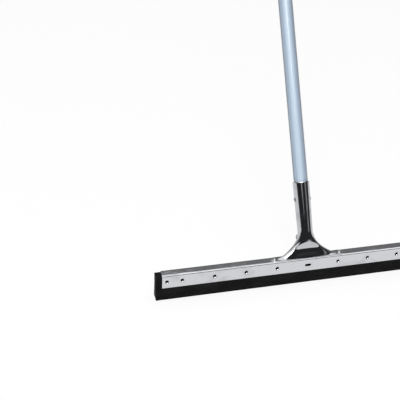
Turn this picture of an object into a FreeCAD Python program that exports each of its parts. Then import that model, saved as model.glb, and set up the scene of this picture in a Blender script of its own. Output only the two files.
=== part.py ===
import FreeCAD, Part
import math
import os
import Sketcher

# Floor squeegee: a pressed channel grips two foam strips, and a flared socket riveted on
# top of the channel holds a sleeved steel handle that leans back.
# +X runs along the blade, +Y to the rear, +Z up. The origin is the middle of the blade's
# sole, where it meets the floor.

doc = FreeCAD.newDocument("squeegee")

SIZES = {
    # channel
    "channel_length": 528.5,
    "channel_depth": 18.0,
    "channel_height": 25.5,
    "channel_wall": 1.0,
    "fold_radius": 2.2,
    # foam strips
    "foam_length": 550.0,
    "foam_drop": 26.0,
    "foam_bulge": 0.8,
    "foam_crown_gap": 0.1,
    # piercings that grip the foam
    "pierce_pitch": 57.2,
    "pierce_pairs": 4,
    "pierce_end_step": 27.0,
    "pierce_below_top": 13.0,
    "pierce_radius": 4.4,
    "pierce_hole_radius": 1.8,
    "pierce_depth": 1.7,
    "pierce_lip": 0.5,
    "slot_length": 11.5,
    "slot_width": 5.0,
    # socket, measured along the handle's axis from the top of the channel
    "socket_length": 132.0,
    "socket_wall": 1.0,
    "mouth_radius": 15.0,
    "neck_radius": 13.6,
    "neck_station": 46.0,
    "leg_spread": 45.0,
    "leg_radius": 6.6,
    "toe_radius": 5.0,
    "arch_half_width": 31.0,
    "arch_station": 26.5,
    "web_recess": 3.9,
    "seam_gap": 1.2,
    "ear_height": 2.4,
    # flange under the socket
    "flange_length": 134.0,
    "flange_width": 13.6,
    "flange_wall": 1.2,
    # rivets
    "foot_rivet_x": 61.0,
    "foot_rivet_radius": 2.4,
    "foot_rivet_head_radius": 4.2,
    "foot_rivet_head_height": 2.4,
    "foot_rivet_tail_radius": 3.6,
    "foot_rivet_tail_height": 1.4,
    "handle_rivet_station": 101.0,
    "handle_rivet_radius": 2.0,
    "handle_rivet_head_radius": 4.0,
    "handle_rivet_head_height": 1.5,
    "handle_rivet_bulb_radius": 2.9,
    "handle_rivet_bulb_length": 3.0,
    "mandrel_radius": 0.9,
    "mandrel_recess": 0.7,
    "mandrel_head_radius": 1.9,
    "mandrel_head_height": 1.4,
    "rivet_clearance": 0.1,
    # handle
    "handle_tilt": 31.0,
    "handle_length": 1200.0,
    "handle_radius": 12.2,
    "handle_wall": 0.8,
    "handle_foot_station": 58.0,
    "sleeve_wall": 0.3,
    # hanging cap
    "cap_plug_length": 28.0,
    "cap_plug_clearance": 0.05,
    "cap_collar_radius": 13.6,
    "cap_collar_height": 16.0,
    "cap_lap": 10.0,
    "cap_lap_clearance": 0.1,
    "cap_shoulder": 4.0,
    "eye_radius": 6.0,
    "eye_rim": 6.0,
    "eye_thickness": 8.0,
    "eye_rise": 17.0,
}

sheet = doc.addObject("Spreadsheet::Sheet", "Sizes")
for row, (alias, value) in enumerate(SIZES.items(), start=1):
    sheet.set(f"A{row}", alias)
    sheet.set(f"B{row}", str(value))
    sheet.setAlias(f"B{row}", alias)
doc.recompute()


def size(alias):
    """The value of one cell of the sheet."""
    return float(sheet.get(alias))


# Places worked out from the sizes, as expressions on the sheet.
CHANNEL_TOP = "(Sizes.foam_drop + Sizes.channel_height)"
CHANNEL_HALF = "(Sizes.channel_depth / 2)"
CHANNEL_INSIDE = f"({CHANNEL_HALF} - Sizes.channel_wall)"
CEILING = f"({CHANNEL_TOP} - Sizes.channel_wall)"
PIERCE_HEIGHT = f"({CHANNEL_TOP} - Sizes.pierce_below_top)"
PIERCE_END = "(Sizes.pierce_pairs * Sizes.pierce_pitch + Sizes.pierce_end_step)"
SLEEVE_RADIUS = "(Sizes.handle_radius + Sizes.sleeve_wall)"
BORE_RADIUS = "(Sizes.handle_radius - Sizes.handle_wall)"
HANDLE_TOP = "(Sizes.handle_foot_station + Sizes.handle_length)"


# Two places nearer than this, in millimetres, are the same.
NEAR = 1e-3
FULL_TURN = 360
FORWARD = 1


def body(label):
    """A named PartDesign body."""
    piece = doc.addObject("PartDesign::Body", label)
    piece.Label = label
    return piece


def plane(piece, role):
    """One of the body's own origin planes or axes."""
    return [item for item in piece.Origin.OriginFeatures if item.Role == role][0]


def sketch_on(piece, name, role):
    """A sketch on one of the body's origin planes."""
    sketch = piece.newObject("Sketcher::SketchObject", name)
    sketch.AttachmentSupport = [(plane(piece, role), "")]
    sketch.MapMode = "FlatFace"
    return sketch


def pin_point(sketch, name, geometry, end, x_rule, y_rule):
    """Ties one point of a sketch to two expressions."""
    point = sketch.getPoint(geometry, end)
    for axis, value, rule in (("X", point.x, x_rule), ("Y", point.y, y_rule)):
        away = Sketcher.Constraint(f"Distance{axis}", -1, 1, geometry, end, value)
        index = sketch.addConstraint(away)
        sketch.renameConstraint(index, f"{name}_{axis.lower()}")
        sketch.setExpression(f"Constraints.{name}_{axis.lower()}", rule)


def evaluate(rule):
    """The number that an expression on the sheet stands for now."""
    return float(sheet.evalExpression(rule))


def polygon(sketch, corners):
    """A closed outline of straight lines whose corners are pairs of expressions."""
    points = [FreeCAD.Vector(evaluate(x), evaluate(y), 0) for x, y in corners]
    count = len(points)
    for i in range(count):
        sketch.addGeometry(Part.LineSegment(points[i], points[(i + 1) % count]), False)
    for i in range(count):
        sketch.addConstraint(Sketcher.Constraint("Coincident", i, 2, (i + 1) % count, 1))
    for i, (x_rule, y_rule) in enumerate(corners):
        pin_point(sketch, f"corner_{i}", i, 1, x_rule, y_rule)


def circle(sketch, x_rule, y_rule, radius_rule, name):
    """A circle whose centre and radius follow expressions."""
    centre = FreeCAD.Vector(evaluate(x_rule), evaluate(y_rule), 0)
    index = sketch.addGeometry(Part.Circle(centre, FreeCAD.Vector(0, 0, 1), evaluate(radius_rule)), False)
    pin_point(sketch, name, index, 3, x_rule, y_rule)
    radius = sketch.addConstraint(Sketcher.Constraint("Radius", index, evaluate(radius_rule)))
    sketch.renameConstraint(radius, f"{name}_radius")
    sketch.setExpression(f"Constraints.{name}_radius", radius_rule)


def pad(piece, sketch, name, length_rule):
    """A pad of equal length to both sides of its sketch."""
    feature = piece.newObject("PartDesign::Pad", name)
    feature.Profile = sketch
    feature.SideType = "Symmetric"
    feature.setExpression("Length", length_rule)
    sketch.Visibility = False
    return feature


def pocket_through(piece, sketch, name):
    """A pocket cut through everything on both sides of its sketch."""
    feature = piece.newObject("PartDesign::Pocket", name)
    feature.Profile = sketch
    feature.SideType = "Symmetric"
    feature.Type = "ThroughAll"
    return feature


def turned(piece, sketch, name, kind):
    """A full turn of a sketch about its own vertical axis, added or cut away."""
    feature = piece.newObject(f"PartDesign::{kind}", name)
    feature.Profile = sketch
    feature.ReferenceAxis = (sketch, ["V_Axis"])
    feature.Angle = FULL_TURN
    return feature


def fillet(piece, name, base, radius_rule, wanted):
    """Rounds the straight edges along X that `wanted` picks by the place of their middle."""
    doc.recompute()
    names = []
    for number, edge in enumerate(base.Shape.Edges, start=1):
        along = edge.tangentAt(edge.FirstParameter)
        if abs(abs(along.x) - 1) < NEAR and wanted(edge.CenterOfMass):
            names.append(f"Edge{number}")
    feature = piece.newObject("PartDesign::Fillet", name)
    feature.Base = (base, names)
    feature.setExpression("Radius", radius_rule)
    return feature


# Channel: one strip of sheet folded into an inverted U, with rounded folds along the top.
channel = body("channel")
section = sketch_on(channel, "channel_section", "YZ_Plane")
polygon(
    section,
    [
        (f"-{CHANNEL_HALF}", "Sizes.foam_drop"),
        (f"-{CHANNEL_HALF}", CHANNEL_TOP),
        (CHANNEL_HALF, CHANNEL_TOP),
        (CHANNEL_HALF, "Sizes.foam_drop"),
        (CHANNEL_INSIDE, "Sizes.foam_drop"),
        (CHANNEL_INSIDE, CEILING),
        (f"-{CHANNEL_INSIDE}", CEILING),
        (f"-{CHANNEL_INSIDE}", "Sizes.foam_drop"),
    ],
)
folded = pad(channel, section, "channel_fold", "Sizes.channel_length")
top = evaluate(CHANNEL_TOP)
ceiling = evaluate(CEILING)
outside = fillet(channel, "outer_folds", folded, "Sizes.fold_radius", lambda p: abs(p.z - top) < NEAR)
inside = fillet(
    channel,
    "inner_folds",
    outside,
    "Sizes.fold_radius - Sizes.channel_wall",
    lambda p: abs(p.z - ceiling) < NEAR and abs(abs(p.y) - evaluate(CHANNEL_INSIDE)) < NEAR,
)

# The slot in the middle of both faces.
slot = sketch_on(channel, "slot_outline", "XZ_Plane")
half_slot = "(Sizes.slot_length / 2 - Sizes.slot_width / 2)"
slot_radius = evaluate("Sizes.slot_width / 2")
slot_z = evaluate(PIERCE_HEIGHT)
slot_x = evaluate(half_slot)
for side, start in ((1, -math.pi / 2), (-1, math.pi / 2)):
    ring = Part.Circle(FreeCAD.Vector(side * slot_x, slot_z, 0), FreeCAD.Vector(0, 0, 1), slot_radius)
    slot.addGeometry(Part.ArcOfCircle(ring, start, start + math.pi), False)
for height in (1, -1):
    left = FreeCAD.Vector(-slot_x, slot_z + height * slot_radius, 0)
    right = FreeCAD.Vector(slot_x, slot_z + height * slot_radius, 0)
    slot.addGeometry(Part.LineSegment(right, left), False)
for line, line_end, arc, arc_end in ((2, 1, 0, 2), (2, 2, 1, 1), (3, 1, 0, 1), (3, 2, 1, 2)):
    slot.addConstraint(Sketcher.Constraint("Tangent", line, line_end, arc, arc_end))
pin_point(slot, "right", 0, 3, half_slot, PIERCE_HEIGHT)
pin_point(slot, "left", 1, 3, f"-{half_slot}", PIERCE_HEIGHT)
round_end = slot.addConstraint(Sketcher.Constraint("Radius", 0, slot_radius))
slot.renameConstraint(round_end, "round_end")
slot.setExpression("Constraints.round_end", "Sizes.slot_width / 2")
pocket_through(channel, slot, "slot")


def turned_outline(piece, name, kind, x_rule, corners):
    """Adds or cuts a cone about an axis along Y through a pierced hole's centre."""
    outline = sketch_on(piece, f"{name}_{kind.lower()}_outline", "XY_Plane")
    outline.setExpression("AttachmentOffset.Base.x", x_rule)
    outline.setExpression("AttachmentOffset.Base.z", PIERCE_HEIGHT)
    polygon(outline, corners)
    return turned(piece, outline, f"{name}_{kind.lower()}", kind)


def repeated(piece, name, originals, in_row, mirror_roles):
    """Repeats features along the row of piercings and mirrors them in the given planes."""
    doc.recompute()
    repeat = piece.newObject("PartDesign::MultiTransform", name)
    repeat.Originals = originals
    steps = []
    if in_row:
        row = piece.newObject("PartDesign::LinearPattern", f"{name}_row")
        row.Direction = (plane(piece, "X_Axis"), [""])
        row.Mode = "Spacing"
        row.setExpression("Offset", "Sizes.pierce_pitch")
        row.setExpression("Occurrences", "Sizes.pierce_pairs")
        steps.append(row)
    for role in mirror_roles:
        mirror = piece.newObject("PartDesign::Mirrored", f"{name}_{role[:2].lower()}")
        mirror.MirrorPlane = (plane(piece, role), [""])
        steps.append(mirror)
    repeat.Transformations = steps
    piece.Tip = repeat


# Piercings: the sheet is pushed inwards as a cone that ends in a thin lip round a hole, and
# the lips grip the foam. A cone is added inside the wall and a smaller one is cut from outside.
PIERCE_REACH = "(Sizes.pierce_depth + Sizes.channel_wall)"
LIP_RADIUS = "(Sizes.pierce_hole_radius + Sizes.pierce_lip)"
PAST_LIP = f"(-{CHANNEL_HALF} + {PIERCE_REACH} + Sizes.pierce_lip)"
ROWS = (("pierced_row", "Sizes.pierce_pitch", True), ("pierced_end", PIERCE_END, False))
for name, x_rule, in_row in ROWS:
    cone = turned_outline(
        channel,
        name,
        "Revolution",
        x_rule,
        [
            ("0", f"-{CHANNEL_INSIDE}"),
            ("Sizes.pierce_radius", f"-{CHANNEL_INSIDE}"),
            (LIP_RADIUS, f"-{CHANNEL_HALF} + {PIERCE_REACH}"),
            ("0", f"-{CHANNEL_HALF} + {PIERCE_REACH}"),
        ],
    )
    hollow = turned_outline(
        channel,
        name,
        "Groove",
        x_rule,
        [
            ("0", f"-{CHANNEL_HALF}"),
            ("Sizes.pierce_radius", f"-{CHANNEL_HALF}"),
            ("Sizes.pierce_hole_radius", f"-{CHANNEL_HALF} + Sizes.pierce_depth"),
            ("Sizes.pierce_hole_radius", PAST_LIP),
            ("0", PAST_LIP),
        ],
    )
    repeated(channel, f"{name}_repeat", [cone, hollow], in_row, ["YZ_Plane", "XZ_Plane"])

# Holes for the rivets that hold the socket.
rivet_holes = sketch_on(channel, "rivet_holes_outline", "XY_Plane")
for name, side in (("left", "-1"), ("right", "1")):
    circle(
        rivet_holes,
        f"{side} * Sizes.foot_rivet_x",
        "0",
        "Sizes.foot_rivet_radius + Sizes.rivet_clearance",
        name,
    )
pocket_through(channel, rivet_holes, "rivet_holes")


# Front foam strip: square-cut foam that swells a little where it leaves the channel. It is
# pressed hollow by the piercings and by the tails of the rivets.
foam_front = body("foam_front")
FOAM_TOP = f"({CEILING} - Sizes.foam_crown_gap)"
FOAM_FACE = f"({CHANNEL_INSIDE} + Sizes.foam_bulge)"
FOLD_INSIDE = "(Sizes.fold_radius - Sizes.channel_wall)"
profile = sketch_on(foam_front, "foam_profile", "YZ_Plane")
polygon(
    profile,
    [
        ("0", "0"),
        ("0", FOAM_TOP),
        (f"-{CHANNEL_INSIDE} + {FOLD_INSIDE}", FOAM_TOP),
        (f"-{CHANNEL_INSIDE}", f"{FOAM_TOP} - {FOLD_INSIDE}"),
        (f"-{CHANNEL_INSIDE}", "Sizes.foam_drop"),
        (f"-{FOAM_FACE}", "Sizes.foam_drop - Sizes.foam_bulge"),
        (f"-{FOAM_FACE}", "0"),
    ],
)
strip = pad(foam_front, profile, "foam_strip", "Sizes.foam_length")
for name, x_rule, in_row in ROWS:
    dent = turned_outline(
        foam_front,
        f"foam_{name}",
        "Groove",
        x_rule,
        [
            ("0", f"-{CHANNEL_INSIDE}"),
            ("Sizes.pierce_radius + Sizes.pierce_lip", f"-{CHANNEL_INSIDE}"),
            (f"{LIP_RADIUS} + Sizes.pierce_lip", PAST_LIP),
            ("0", PAST_LIP),
        ],
    )
    repeated(foam_front, f"foam_{name}_repeat", [dent], in_row, ["YZ_Plane"])
tail_room = sketch_on(foam_front, "tail_room_outline", "XY_Plane")
tail_room.setExpression("AttachmentOffset.Base.z", FOAM_TOP)
for name, side in (("left", "-1"), ("right", "1")):
    circle(
        tail_room,
        f"{side} * Sizes.foot_rivet_x",
        "0",
        "Sizes.foot_rivet_tail_radius + Sizes.rivet_clearance",
        name,
    )
room = foam_front.newObject("PartDesign::Pocket", "tail_room")
room.Profile = tail_room
room.setExpression("Length", "Sizes.foot_rivet_tail_height")

# Rear foam strip: the same strip, turned round.
foam_rear = doc.addObject("Part::Mirroring", "foam_rear")
foam_rear.Label = "foam_rear"
foam_rear.Source = foam_front
foam_rear.Normal = (0, 1, 0)
foam_rear.Base = (0, 0, 0)


# Shape of the socket's flare. A level runs from 0 at the foot to 1 at the neck.
LEG_CURVE = 1.95  # how soon the two legs part
OPENING_TOP = 0.97  # level where the seam at the rear starts to open
OPENING_RUN = 0.22  # share of the height over which it opens
REAR_CUT = 1.35  # radians cut from each side at the rear
WEB_RUN = 0.4  # share of the height over which the web is pushed in, from the foot
LIP_START = 0.9  # where the turned-out rear edges start, across the skin
EAR_START = 0.62  # level where those edges start to turn out
EAR_RUN = 0.16  # share of the height over which they do
# Rows and columns of points that the skins are drawn through.
SKIN_COLUMNS = 61
TOE_ROWS = 5
FLARE_ROWS = 28
TUBE_ROWS = 6
NORMAL_STEP = 1e-3


def smooth(value):
    """Goes from 0 to 1 as the value does, with no slope at either end."""
    value = min(max(value, 0.0), 1.0)
    return value * value * (3 - 2 * value)


def socket_point(across, station):
    """A point of the socket's outer skin.

    `across` runs from -1 at one rear edge, round the front, to 1 at the other. `station` is the
    distance up the handle's axis from the top of the flange. The tube is a slight cone. Below
    its neck the ring parts into two legs: each half keeps a round of `leg`, and moves out by
    `spread`. The web between them is pushed back inside an arch with a crease round it, and the
    rear is cut away, with a short turned-out ear on each side. The foot is sunk into the middle
    of the flange's thickness, where the two are one sheet.
    """
    neck = size("neck_station")
    level = min(station / neck, 1.0)
    blend = smooth(level)
    grown = max(station - neck, 0.0) / (size("socket_length") - neck)
    leg = size("leg_radius") + (size("neck_radius") - size("leg_radius")) * blend
    leg += (size("mouth_radius") - size("neck_radius")) * grown
    spread = size("leg_spread") * (1 - level) ** LEG_CURVE
    toe = size("toe_radius")
    below = max(toe - station, 0.0)
    spread += toe - math.sqrt(toe * toe - below * below)

    seam = size("seam_gap") / 2 / size("neck_radius")
    opened = smooth((OPENING_TOP - level) / OPENING_RUN)
    angle = across * (math.pi - seam - (REAR_CUT - seam) * opened)
    sine = math.sin(angle)
    x = spread * sine * (3 - sine * sine) / 2 + leg * sine
    q = -leg * math.cos(angle)
    arch = (x / size("arch_half_width")) ** 2 + (station / size("arch_station")) ** 2
    if arch < 1 and math.cos(angle) > 0:
        q += size("web_recess") * (1 - arch * arch) * smooth(level / WEB_RUN)
    ear = smooth((abs(across) - LIP_START) / (1 - LIP_START))
    ear *= smooth((OPENING_TOP - level) / OPENING_RUN) * smooth((level - EAR_START) / EAR_RUN)
    x += math.copysign(size("ear_height") * ear, across)

    tilt = math.radians(size("handle_tilt"))
    turn = tilt * blend
    sunk = (size("flange_wall") - size("socket_wall")) / 2 * (1 - blend)
    y = station * math.sin(tilt) + q * math.cos(turn)
    z = station * math.cos(tilt) - q * math.sin(turn) - sunk
    return FreeCAD.Vector(x, y, z + evaluate(CHANNEL_TOP) + size("flange_wall"))


def skins(stations, columns):
    """Grids of points on the outer and the inner skin of the socket."""
    outer = []
    inner = []
    for station in stations:
        outer_row = []
        inner_row = []
        for column in range(columns):
            across = -1 + 2 * column / (columns - 1)
            here = socket_point(across, station)
            left = socket_point(across - NORMAL_STEP, station)
            right = socket_point(across + NORMAL_STEP, station)
            low = socket_point(across, max(station - NORMAL_STEP, 0.0))
            high = socket_point(across, station + NORMAL_STEP)
            normal = (right - left).cross(high - low)
            normal.normalize()
            outer_row.append(here)
            inner_row.append(here - normal * size("socket_wall"))
        outer.append(outer_row)
        inner.append(inner_row)
    return outer, inner


def thin_solid(outer, inner):
    """A closed sheet between two smooth surfaces through two like grids of points."""
    surfaces = []
    for grid in (outer, inner):
        surface = Part.BSplineSurface()
        surface.interpolate(grid)
        surfaces.append(surface)
    faces = [surface.toShape() for surface in surfaces]
    for direction in ("uIso", "vIso"):
        for end in (0.0, 1.0):
            edges = []
            for surface in surfaces:
                low_u, high_u, low_v, high_v = surface.bounds()
                low, high = (low_u, high_u) if direction == "uIso" else (low_v, high_v)
                curve = getattr(surface, direction)(low + end * (high - low))
                edges.append(curve.toShape())
            faces.append(Part.makeRuledSurface(*edges, FORWARD))
    shell = Part.Shell(faces)
    shell.sewShape()
    solid = Part.Solid(shell)
    if solid.Volume < 0:
        solid.reverse()
    return solid


# Socket: one stamping, rolled into a tube at the top, spread into two legs at the bottom, with
# a flange that lies on the channel.
neck_station = size("neck_station")
toe = size("toe_radius")
quarter = math.pi / 2
stations = [toe * (1 - math.cos(quarter * row / TOE_ROWS)) for row in range(TOE_ROWS)]
stations += [toe + (neck_station - toe) * row / FLARE_ROWS for row in range(FLARE_ROWS)]
tube_span = size("socket_length") - neck_station
stations += [neck_station + tube_span * row / TUBE_ROWS for row in range(TUBE_ROWS + 1)]
stamping = thin_solid(*skins(stations, SKIN_COLUMNS))

half_length = size("flange_length") / 2
half_width = size("flange_width") / 2
channel_top = evaluate(CHANNEL_TOP)
corner_x = half_length - half_width
front_line = Part.LineSegment(
    FreeCAD.Vector(-corner_x, -half_width, channel_top), FreeCAD.Vector(corner_x, -half_width, channel_top)
)
right_round = Part.Arc(
    FreeCAD.Vector(corner_x, -half_width, channel_top),
    FreeCAD.Vector(half_length, 0, channel_top),
    FreeCAD.Vector(corner_x, half_width, channel_top),
)
rear_line = Part.LineSegment(
    FreeCAD.Vector(corner_x, half_width, channel_top), FreeCAD.Vector(-corner_x, half_width, channel_top)
)
left_round = Part.Arc(
    FreeCAD.Vector(-corner_x, half_width, channel_top),
    FreeCAD.Vector(-half_length, 0, channel_top),
    FreeCAD.Vector(-corner_x, -half_width, channel_top),
)
outline = Part.Wire([edge.toShape() for edge in (front_line, right_round, rear_line, left_round)])
flange = Part.Face(outline).extrude(FreeCAD.Vector(0, 0, size("flange_wall")))

tilt = math.radians(size("handle_tilt"))
rivet_station = size("handle_rivet_station")
past_tube = 2 * size("mouth_radius")
cross_hole = Part.makeCylinder(
    size("handle_rivet_radius") + size("rivet_clearance"),
    2 * past_tube,
    FreeCAD.Vector(
        -past_tube,
        rivet_station * math.sin(tilt),
        channel_top + size("flange_wall") + rivet_station * math.cos(tilt),
    ),
    FreeCAD.Vector(1, 0, 0),
)
holes = [cross_hole]
for side in (-1, 1):
    holes.append(
        Part.makeCylinder(
            size("foot_rivet_radius") + size("rivet_clearance"),
            2 * size("flange_wall"),
            FreeCAD.Vector(side * size("foot_rivet_x"), 0, channel_top - size("flange_wall") / 2),
        )
    )
socket = doc.addObject("Part::Feature", "socket")
socket.Label = "socket"
socket.Shape = stamping.fuse(flange).cut(holes)


def rivet(name, parts):
    """A rivet along +Z from its own origin: a domed head, a shank and a round tail."""
    pieces = []
    for suffix, kind, bottom_rule, rules in parts:
        piece = doc.addObject(f"Part::{kind}", f"{name}_{suffix}")
        for prop, rule in rules.items():
            piece.setExpression(prop, rule)
        piece.setExpression("Placement.Base.z", bottom_rule)
        pieces.append(piece)
    whole = doc.addObject("Part::MultiFuse", name)
    whole.Shapes = pieces
    whole.Refine = True
    return whole


def dome(head_radius, head_height, seat):
    """A shallow dome as a slice of a ball, with the seat that its flat side rests on."""
    ball = f"({head_radius} ^ 2 + {head_height} ^ 2) / (2 * {head_height})"
    rise = f"asin(1 - {head_height} / ({ball}))"
    return ("head", "Sphere", f"{seat} + {head_height} - {ball}", {"Radius": ball, "Angle1": rise})


def pair(label, rivets):
    """Two like rivets in one piece."""
    group = doc.addObject("Part::Compound", label)
    group.Label = label
    group.Links = rivets
    return group


# Foot rivets: driven down through the flange and the channel, with their tails over the foam.
foot_seat = f"({CHANNEL_TOP} + Sizes.flange_wall)"
foot_tail = f"({CEILING} - Sizes.foot_rivet_tail_height)"
foot_rivets = []
for name, side in (("left", "-1"), ("right", "1")):
    one = rivet(
        f"foot_rivet_{name}",
        [
            dome("Sizes.foot_rivet_head_radius", "Sizes.foot_rivet_head_height", foot_seat),
            (
                "shank",
                "Cylinder",
                foot_tail,
                {"Radius": "Sizes.foot_rivet_radius", "Height": f"{foot_seat} - {foot_tail}"},
            ),
            (
                "tail",
                "Cylinder",
                foot_tail,
                {"Radius": "Sizes.foot_rivet_tail_radius", "Height": "Sizes.foot_rivet_tail_height"},
            ),
        ],
    )
    one.setExpression("Placement.Base.x", f"{side} * Sizes.foot_rivet_x")
    foot_rivets.append(one)
pair("foot_rivets", foot_rivets)

# Handle rivets: one blind rivet in each side of the tube, through socket, sleeve and handle.
# The mandrel that set it stays inside, with its head under the bulb.
up_cone = "(Sizes.handle_rivet_station - Sizes.neck_station) / (Sizes.socket_length - Sizes.neck_station)"
handle_seat = f"(Sizes.neck_radius + (Sizes.mouth_radius - Sizes.neck_radius) * {up_cone})"
bulb_top = f"(sqrt({BORE_RADIUS} ^ 2 - Sizes.handle_rivet_bulb_radius ^ 2))"
bulb_end = f"({bulb_top} - Sizes.handle_rivet_bulb_length)"
head_top = f"({handle_seat} + Sizes.handle_rivet_head_height)"
mandrel_top = f"({head_top} - Sizes.mandrel_recess)"


def across_handle(piece, side):
    """Turns a piece made along +Z to point out of one side of the handle, at the rivets' height."""
    station = "Sizes.handle_rivet_station"
    piece.Placement.Rotation = FreeCAD.Rotation(FreeCAD.Vector(0, 1, 0), side * 90)
    piece.setExpression("Placement.Base.y", f"{station} * sin(Sizes.handle_tilt)")
    piece.setExpression("Placement.Base.z", f"{foot_seat} + {station} * cos(Sizes.handle_tilt)")


def rod(name, radius_rule, bottom_rule, top_rule):
    """A round bar along +Z between two heights."""
    bar = doc.addObject("Part::Cylinder", name)
    bar.setExpression("Radius", radius_rule)
    bar.setExpression("Height", f"{top_rule} - {bottom_rule}")
    bar.setExpression("Placement.Base.z", bottom_rule)
    return bar


handle_rivets = []
mandrels = []
for name, side in (("left", -1), ("right", 1)):
    solid_rivet = rivet(
        f"handle_rivet_blank_{name}",
        [
            dome("Sizes.handle_rivet_head_radius", "Sizes.handle_rivet_head_height", handle_seat),
            (
                "shank",
                "Cylinder",
                bulb_top,
                {"Radius": "Sizes.handle_rivet_radius", "Height": f"{handle_seat} - {bulb_top}"},
            ),
            (
                "bulb",
                "Cylinder",
                bulb_end,
                {"Radius": "Sizes.handle_rivet_bulb_radius", "Height": "Sizes.handle_rivet_bulb_length"},
            ),
        ],
    )
    one = doc.addObject("Part::Cut", f"handle_rivet_{name}")
    one.Base = solid_rivet
    one.Tool = rod(f"rivet_bore_{name}", "Sizes.mandrel_radius", bulb_end, head_top)
    across_handle(one, side)
    handle_rivets.append(one)

    stem = rod(f"mandrel_stem_{name}", "Sizes.mandrel_radius", bulb_end, mandrel_top)
    button = rod(
        f"mandrel_button_{name}",
        "Sizes.mandrel_head_radius",
        f"({bulb_end} - Sizes.mandrel_head_height)",
        bulb_end,
    )
    mandrel = doc.addObject("Part::MultiFuse", f"mandrel_{name}")
    mandrel.Shapes = [stem, button]
    across_handle(mandrel, side)
    mandrels.append(mandrel)
pair("handle_rivets", handle_rivets)
pair("rivet_mandrels", mandrels)


def lean(piece, station_rule):
    """Puts a piece made along +Z on the handle's axis, this far up it from the socket's flange."""
    piece.Placement.Rotation = FreeCAD.Rotation(FreeCAD.Vector(-1, 0, 0), size("handle_tilt"))
    piece.setExpression("Placement.Rotation.Angle", "Sizes.handle_tilt")
    piece.setExpression("Placement.Base.y", f"{station_rule} * sin(Sizes.handle_tilt)")
    piece.setExpression("Placement.Base.z", f"{foot_seat} + {station_rule} * cos(Sizes.handle_tilt)")


def pipe(label, outer_rule, inner_rule, length_rule):
    """A tube standing on the socket's end of the handle, with holes for the two rivets."""
    piece = body(label)
    ring = sketch_on(piece, f"{label}_ring", "XY_Plane")
    circle(ring, "0", "0", outer_rule, "outside")
    circle(ring, "0", "0", inner_rule, "inside")
    wall = piece.newObject("PartDesign::Pad", f"{label}_wall")
    wall.Profile = ring
    wall.setExpression("Length", length_rule)
    hole = sketch_on(piece, f"{label}_rivet_hole", "YZ_Plane")
    height = "Sizes.handle_rivet_station - Sizes.handle_foot_station"
    circle(hole, "0", height, "Sizes.handle_rivet_radius + Sizes.rivet_clearance", "rivet")
    pocket_through(piece, hole, f"{label}_rivet_holes")
    lean(piece, "Sizes.handle_foot_station")
    return piece


# Handle: a thin steel tube in a shrunk plastic sleeve. The cap laps over the end of both.
pipe("handle_tube", "Sizes.handle_radius", BORE_RADIUS, "Sizes.handle_length")
pipe("handle_sleeve", SLEEVE_RADIUS, "Sizes.handle_radius", "Sizes.handle_length")

# Hanging cap: a moulded plug pushed into the tube, with a collar over its end and an eye.
cap = body("hanging_cap")
cap_profile = sketch_on(cap, "cap_profile", "XZ_Plane")
PLUG_RADIUS = f"({BORE_RADIUS} - Sizes.cap_plug_clearance)"
SKIRT_RADIUS = f"({SLEEVE_RADIUS} + Sizes.cap_lap_clearance)"
EYE_OUTSIDE = "(Sizes.eye_radius + Sizes.eye_rim)"
polygon(
    cap_profile,
    [
        ("0", "-Sizes.cap_plug_length"),
        (PLUG_RADIUS, "-Sizes.cap_plug_length"),
        (PLUG_RADIUS, "0"),
        (SKIRT_RADIUS, "0"),
        (SKIRT_RADIUS, "-Sizes.cap_lap"),
        ("Sizes.cap_collar_radius", "-Sizes.cap_lap"),
        ("Sizes.cap_collar_radius", "Sizes.cap_collar_height - Sizes.cap_lap - Sizes.cap_shoulder"),
        ("Sizes.cap_collar_radius - Sizes.cap_shoulder", "Sizes.cap_collar_height - Sizes.cap_lap"),
        ("0", "Sizes.cap_collar_height - Sizes.cap_lap"),
    ],
)
turned(cap, cap_profile, "cap_plug_and_collar", "Revolution")
eye = sketch_on(cap, "eye_outline", "XZ_Plane")
circle(eye, "0", "Sizes.eye_rise", EYE_OUTSIDE, "rim")
pad(cap, eye, "eye_ring", "Sizes.eye_thickness")
neck = sketch_on(cap, "eye_neck_outline", "XZ_Plane")
polygon(
    neck,
    [
        (f"-{EYE_OUTSIDE}", "0"),
        (EYE_OUTSIDE, "0"),
        (EYE_OUTSIDE, "Sizes.eye_rise"),
        (f"-{EYE_OUTSIDE}", "Sizes.eye_rise"),
    ],
)
pad(cap, neck, "eye_neck", "Sizes.eye_thickness")
hole = sketch_on(cap, "eye_hole_outline", "XZ_Plane")
circle(hole, "0", "Sizes.eye_rise", "Sizes.eye_radius", "hole")
pocket_through(cap, hole, "eye_hole")
lean(cap, HANDLE_TOP)

doc.recompute()

NODES = [
    "channel",
    "foam_front",
    "foam_rear",
    "socket",
    "foot_rivets",
    "handle_rivets",
    "rivet_mandrels",
    "handle_tube",
    "handle_sleeve",
    "hanging_cap",
]
for item in doc.Objects:
    failed = {"Invalid", "Error"} & set(item.State)
    if failed:
        raise RuntimeError(f"{item.Name} is {sorted(failed)}")
os.makedirs("parts", exist_ok=True)
for node in NODES:
    shape = doc.getObjectsByLabel(node)[0].Shape
    if shape.isNull() or not shape.isValid():
        raise RuntimeError(f"{node} has no sound shape")
    shape.exportStep(f"parts/{node}.step")
    print(f"{node}: {len(shape.Solids)} solids, {shape.Volume:.0f} mm3")
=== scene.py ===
"""Floor squeegee: a chromed channel that grips two foam strips, a flared socket riveted on top
of it, and a long steel handle in a blue sleeve with a hanging cap.

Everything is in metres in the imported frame: +X along the blade, +Y to the rear, +Z up, and the
origin in the middle of the blade's sole.
"""

import math

import bmesh
import bpy
import numpy as np
from mathutils import Matrix, Vector


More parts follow.
